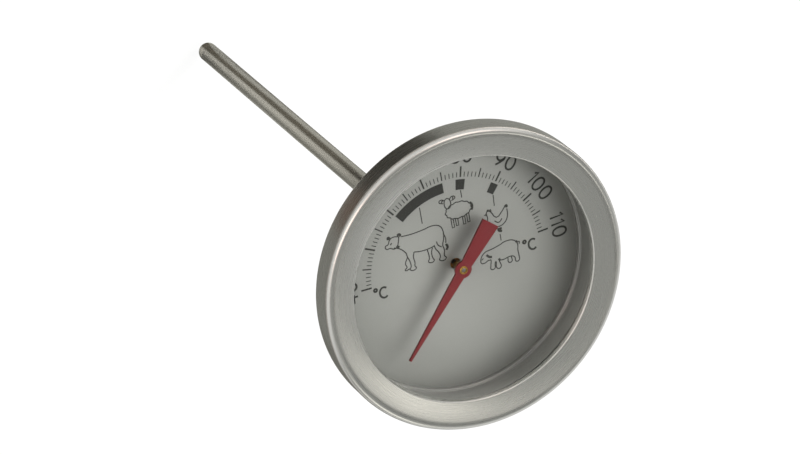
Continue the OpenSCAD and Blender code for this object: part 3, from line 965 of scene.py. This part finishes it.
# Steel with a bright zinc plating: bluish grey, a little cloudy
zinc = finish("zinc_steel", "#B9BCBF", "#A3A7AB", lambda tree: patches(tree, 1.5), (0.3, 0.45))
# Sintered bronze: brown and grainy
bronze = finish("bronze", "#A87F4C", "#8C6638", lambda tree: patches(tree, 0.15), (0.45, 0.6), bump_mm=0.01)
# Acetal, moulded: off-white with a dull shine
acetal = finish("bush_plastic", "#EEEBE2", "#E4E0D5", lambda tree: patches(tree, 0.6), (0.4, 0.5),
                metallic=0.0)
# Steel wire, drawn and straightened: bright, with long lines
spindle_steel = finish("spindle_steel", "#A9A9A9", "#969696", lambda tree: long_lines(tree, 0.08, 5),
                       (0.25, 0.35))
# Two metals rolled together: a straw grey with a dull shine, a little cloudy from the heat of rolling
bimetal = finish("bimetal_strip", "#C4B79A", "#A8997A", lambda tree: patches(tree, 0.5), (0.28, 0.4))


# %% Simple rings
def ring(inner, node, soft=0.1):
    """The outline and bends of a plain ring that fills an engineering part's box."""
    outer = radius(node)
    outline = [(inner, low(node)), (outer, low(node)), (outer, high(node)), (inner, high(node))]
    return outline, {corner: (soft, 2) for corner in range(4)}


PILOT_R = SPINDLE_R + 0.05
GASKET_IN, REST_IN = 23.4, 19.3
RINGS = [("sealing_gasket", "window_gasket", GASKET_IN, 0.2, silicone),
         ("dial_rest", "dial_support_ring", REST_IN, 0.12, zinc),
         ("washer", "clamp_washer", NECK_R, 0.08, zinc),
         ("spindle_ferrule", "helix_ferrule", SPINDLE_R + CLEARANCE, 0.08, brass),
         ("guide_bush_low", "lower_guide_bush", PILOT_R, 0.15, acetal),
         ("guide_bush_high", "upper_guide_bush", PILOT_R, 0.15, acetal)]
for name, node, inner, soft, material in RINGS:
    outline, bends = ring(inner, node, soft)
    body = frame["nodes"][node]["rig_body"]
    piece(name, turned(outline, bends, steps=96), material, body, node)

# %% Bearing, anchor and spindle
piece("headed_bearing", turned(
    [(PILOT_R, low("top_bearing")), (BORE_R - CLEARANCE, low("top_bearing")), (BORE_R - CLEARANCE, TUBE_TOP),
     (LIP_R, TUBE_TOP), (LIP_R, high("top_bearing")), (PILOT_R, high("top_bearing"))],
    {1: (0.1, 2), 3: (0.05, 2), 4: (0.1, 2), 5: (0.1, 2)}, steps=96), bronze, node="top_bearing")

ANCHOR_R, ANCHOR_LOW, ANCHOR_TOP = radius("helix_anchor"), low("helix_anchor"), high("helix_anchor")
piece("anchor_plug", turned(
    [(0, ANCHOR_LOW), (ANCHOR_R, ANCHOR_LOW), (ANCHOR_R, ANCHOR_TOP), (0, ANCHOR_TOP)],
    {1: (0.15, 2), 2: (0.15, 2)}, steps=96, closed=False), brass, node="helix_anchor")

piece("spindle_rod", turned(
    [(0, low("spindle")), (SPINDLE_R, low("spindle")), (SPINDLE_R, high("spindle")), (0, high("spindle"))],
    {1: (0.1, 2), 2: (0.1, 2)}, steps=32, closed=False), spindle_steel, "pointer_spindle", "spindle")

# %% [markdown]
# ### Bimetal helix
# A spin that rises as it turns makes a helix from one small rectangle. Its foot is welded to the anchor
# and its head to the ferrule, which turns with the pointer.

# %% Bimetal helix
HELIX_TURNS, STRIP_T, STRIP_W = 20, 0.12, 0.8
STEPS_PER_TURN = 32
HELIX_R = radius("bimetal_helix")
HELIX_LOW, HELIX_TOP = low("bimetal_helix"), high("bimetal_helix")

bm = bmesh.new()
strip = bm.faces.new([bm.verts.new((r * MM, 0, z * MM)) for r, z in (
    (HELIX_R - STRIP_T, HELIX_LOW), (HELIX_R, HELIX_LOW), (HELIX_R, HELIX_LOW + STRIP_W),
    (HELIX_R - STRIP_T, HELIX_LOW + STRIP_W))])
steps = HELIX_TURNS * STEPS_PER_TURN
rise = (HELIX_TOP - HELIX_LOW - STRIP_W) / steps
bmesh.ops.spin(bm, geom=[strip], cent=(0, 0, 0), axis=(0, 0, 1), dvec=(0, 0, rise * MM),
               angle=HELIX_TURNS * 2 * math.pi, steps=steps)
bmesh.ops.recalc_face_normals(bm, faces=bm.faces[:])
mesh = bpy.data.meshes.new("wound_strip")
bm.to_mesh(mesh)
bm.free()
mesh.materials.append(bimetal)
wound_strip = bpy.data.objects.new("wound_strip", mesh)
scene.collection.objects.link(wound_strip)
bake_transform(wound_strip)
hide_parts("bimetal_helix")
print("wound_strip:", len(mesh.polygons), "faces")
